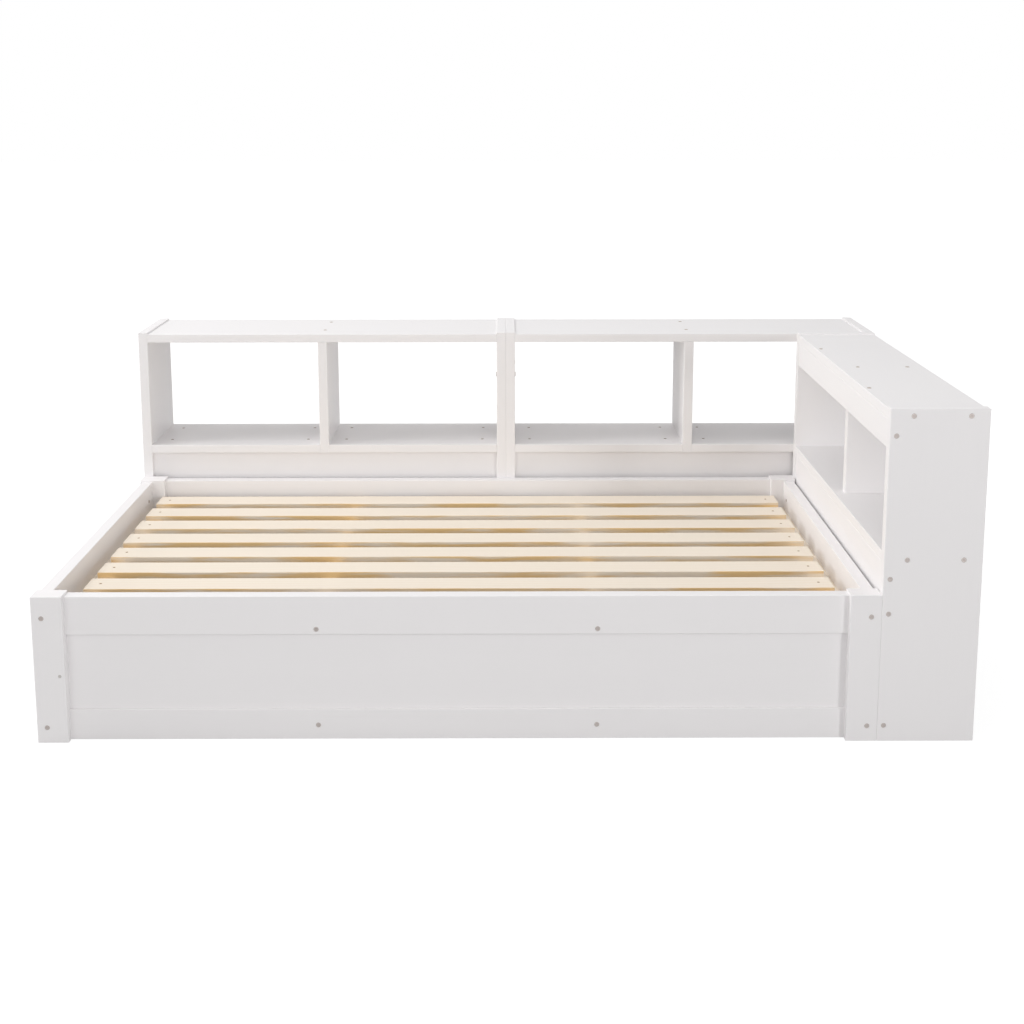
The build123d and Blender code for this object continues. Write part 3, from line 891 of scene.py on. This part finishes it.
def make_world(strength):
    """Make an even sky that lights softly and looks white."""
    world = bpy.data.worlds.new("studio")
    bpy.context.scene.world = world
    world.use_nodes = True
    tree = world.node_tree
    tree.nodes.clear()
    ambient = add_node(tree, "ShaderNodeBackground", {"Color": (1, 1, 1, 1), "Strength": strength})
    white = add_node(tree, "ShaderNodeBackground", {"Color": (1, 1, 1, 1), "Strength": 1.0})
    mixed = add_node(tree, "ShaderNodeMixShader",
                     {0: seen_directly(tree), 1: ambient.outputs[0], 2: white.outputs[0]})
    output = tree.nodes.new("ShaderNodeOutputWorld")
    tree.links.new(mixed.outputs[0], output.inputs["Surface"])


def make_floor():
    """Lay a wide pale floor that keeps the daybed's shadow."""
    half = 30.0
    mesh = bpy.data.meshes.new("floor")
    square = [(-half, -half, 0), (half, -half, 0), (half, half, 0), (-half, half, 0)]
    mesh.from_pydata(square, [], [(0, 1, 2, 3)])
    floor = bpy.data.objects.new("floor", mesh)
    floor.location.z = -0.2 * MM
    bpy.context.scene.collection.objects.link(floor)
    material = bpy.data.materials.new("pale_floor")
    material.use_nodes = True
    tree = material.node_tree
    tree.nodes.clear()
    matt = add_node(tree, "ShaderNodeBsdfDiffuse", {"Color": (0.50, 0.50, 0.50, 1)})
    thin = add_node(tree, "ShaderNodeBsdfDiffuse", {"Color": (0.14, 0.14, 0.14, 1)})
    where = tree.nodes.new("ShaderNodeTexCoord")
    away = add_node(tree, "ShaderNodeVectorMath", {0: where.outputs["Object"]}, operation="LENGTH")
    strength = fade(tree, away.outputs["Value"], start=1.2, end=3.0, low=0.92, high=1.0)
    glow = add_node(tree, "ShaderNodeEmission", {"Color": (1, 1, 1, 1), "Strength": strength})
    both = add_node(tree, "ShaderNodeAddShader", {0: thin.outputs[0], 1: glow.outputs[0]})
    mixed = add_node(tree, "ShaderNodeMixShader",
                     {0: seen_directly(tree), 1: matt.outputs[0], 2: both.outputs[0]})
    output = tree.nodes.new("ShaderNodeOutputMaterial")
    tree.links.new(mixed.outputs[0], output.inputs["Surface"])
    mesh.materials.append(material)


def make_camera(settings):
    """Stand the camera where the photograph was taken from."""
    yaw, pitch, roll = settings.camera_yaw, settings.camera_pitch, settings.camera_roll
    ahead = Vector((math.sin(yaw) * math.cos(pitch), math.cos(yaw) * math.cos(pitch), -math.sin(pitch)))
    right = Vector((math.cos(yaw), -math.sin(yaw), 0))
    up = right.cross(ahead)
    turned_right = right * math.cos(roll) + up * math.sin(roll)
    turned_up = up * math.cos(roll) - right * math.sin(roll)
    data = bpy.data.cameras.new("camera")
    data.sensor_width = 36
    data.lens = settings.focal_length
    data.shift_y = settings.shift_up
    data.clip_end = 200
    camera = bpy.data.objects.new("camera", data)
    axes = Matrix((turned_right, turned_up, -ahead)).transposed().to_4x4()
    camera.matrix_world = Matrix.Translation(Vector(settings.camera_place)) @ axes
    bpy.context.scene.collection.objects.link(camera)
    bpy.context.scene.camera = camera


class DAYBED_OT_studio(bpy.types.Operator):
    """Set up the floor, the sky, the lamps and the camera."""

    bl_idname = "daybed.studio"
    bl_label = "Set up the studio"

    def execute(self, context):
        settings = context.scene.daybed_studio
        low, high = cad_bounds
        aim = Vector(((low.x + high.x) / 2, (low.y + high.y) / 2, 0.35))
        lamp("key lamp", (4.3, -6.2, 1.0), aim, 1.4, settings.key_power)
        lamp("fill lamp", (-2.8, -4.4, 2.6), aim, 2.6, settings.fill_power)
        lamp("side lamp", (-6.0, -0.3, 1.1), aim, 1.8, settings.side_power)
        lamp("high lamp", (-3.4, 0.0, 4.0), aim, 2.4, settings.high_power)
        lamp("boom lamp", (0.1, -2.4, 2.1), Vector((0.1, 0.6, 0.4)), 1.6, settings.boom_power)
        lamp("top lamp", (0.4, 0.3, 4.4), aim, 3.0, settings.top_power)
        make_world(settings.ambient)
        make_floor()
        make_camera(settings)
        context.scene.view_settings.view_transform = "Standard"
        return {"FINISHED"}


class DAYBED_PT_panel(bpy.types.Panel):
    """The daybed's steps and settings in the sidebar."""

    bl_idname = "DAYBED_PT_panel"
    bl_label = "Storage Daybed"
    bl_space_type = "VIEW_3D"
    bl_region_type = "UI"
    bl_category = "Daybed"

    def draw(self, context):
        layout = self.layout
        for operator in OPERATORS:
            layout.operator(operator.bl_idname)
        for label in SETTINGS:
            box = layout.box()
            settings = getattr(context.scene, label)
            for key in settings.bl_rna.properties.keys():
                if key not in {"rna_type", "name"}:
                    box.prop(settings, key)


OPERATORS = [DAYBED_OT_paint, DAYBED_OT_slats, DAYBED_OT_cross_supports, DAYBED_OT_bolts, DAYBED_OT_screws,
             DAYBED_OT_nuts, DAYBED_OT_connectors, DAYBED_OT_plug, DAYBED_OT_studio]
SETTINGS = {"daybed_paint": PaintSettings, "daybed_pine": PineSettings,
            "daybed_fasteners": FastenerSettings, "daybed_studio": StudioSettings}


def register():
    """Register the settings, the operators and the panel."""
    for label, group in SETTINGS.items():
        bpy.utils.register_class(group)
        setattr(bpy.types.Scene, label, PointerProperty(type=group))
    for operator in OPERATORS:
        bpy.utils.register_class(operator)
    bpy.utils.register_class(DAYBED_PT_panel)


def unregister():
    """Take the panel, the operators and the settings out again."""
    bpy.utils.unregister_class(DAYBED_PT_panel)
    for operator in reversed(OPERATORS):
        bpy.utils.unregister_class(operator)
    for label, group in SETTINGS.items():
        delattr(bpy.types.Scene, label)
        bpy.utils.unregister_class(group)


def main():
    """Build everything in order."""
    register()
    bpy.ops.daybed.paint()
    bpy.ops.daybed.slats()
    bpy.ops.daybed.cross_supports()
    bpy.ops.daybed.bolts()
    bpy.ops.daybed.screws()
    bpy.ops.daybed.nuts()
    bpy.ops.daybed.connectors()
    bpy.ops.daybed.plug()
    bpy.ops.daybed.studio()


if __name__ == "__main__":
    main()
